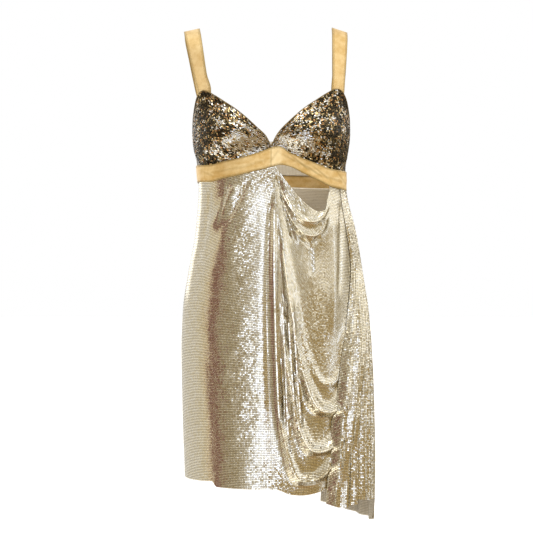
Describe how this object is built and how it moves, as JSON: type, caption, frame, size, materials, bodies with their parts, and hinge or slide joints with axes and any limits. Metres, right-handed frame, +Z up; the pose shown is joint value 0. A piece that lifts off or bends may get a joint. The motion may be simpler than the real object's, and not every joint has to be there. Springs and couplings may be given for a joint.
{
  "type": "metal mesh mini dress",
  "caption": "Hollow sleeveless mini dress in metal mesh, in its worn shape, with leather straps and underbust band, a cowl cut-out and a long waterfall of folds at one hip.",
  "frame": {"origin": "midway between the tops of the two shoulder straps, where the wearer's shoulders hold the dress", "axes": "+Z up, the front of the dress faces -Y, +X is the wearer's left"},
  "size_m": [0.3562, 0.276, 0.9106],
  "materials": {
    "plain_mesh": "small flat linked metal plates, pale gold, mirror bright with slight tilts",
    "printed_mesh": "the same linked plates printed with dark, bronze and copper blotches over pale metal",
    "gold_leather": "soft leather with an antique gold foil, rubbed at its creases, with stitched edges",
    "stud_brass": "polished press studs"
  },
  "bodies": {
    "root": {"skirt_front": "plain_mesh", "skirt_back": "plain_mesh", "hip_waterfall": "plain_mesh", "cup_left": "printed_mesh", "cup_right": "printed_mesh", "bodice_back_left": "plain_mesh", "bodice_back_right": "plain_mesh", "band_front": "gold_leather", "band_back_left": "gold_leather", "band_back_right": "gold_leather", "strap_left": "gold_leather", "strap_right": "gold_leather", "closure_tab": "gold_leather", "closure_stud_1": "stud_brass", "closure_stud_2": "stud_brass"}
  },
  "joints": []
}
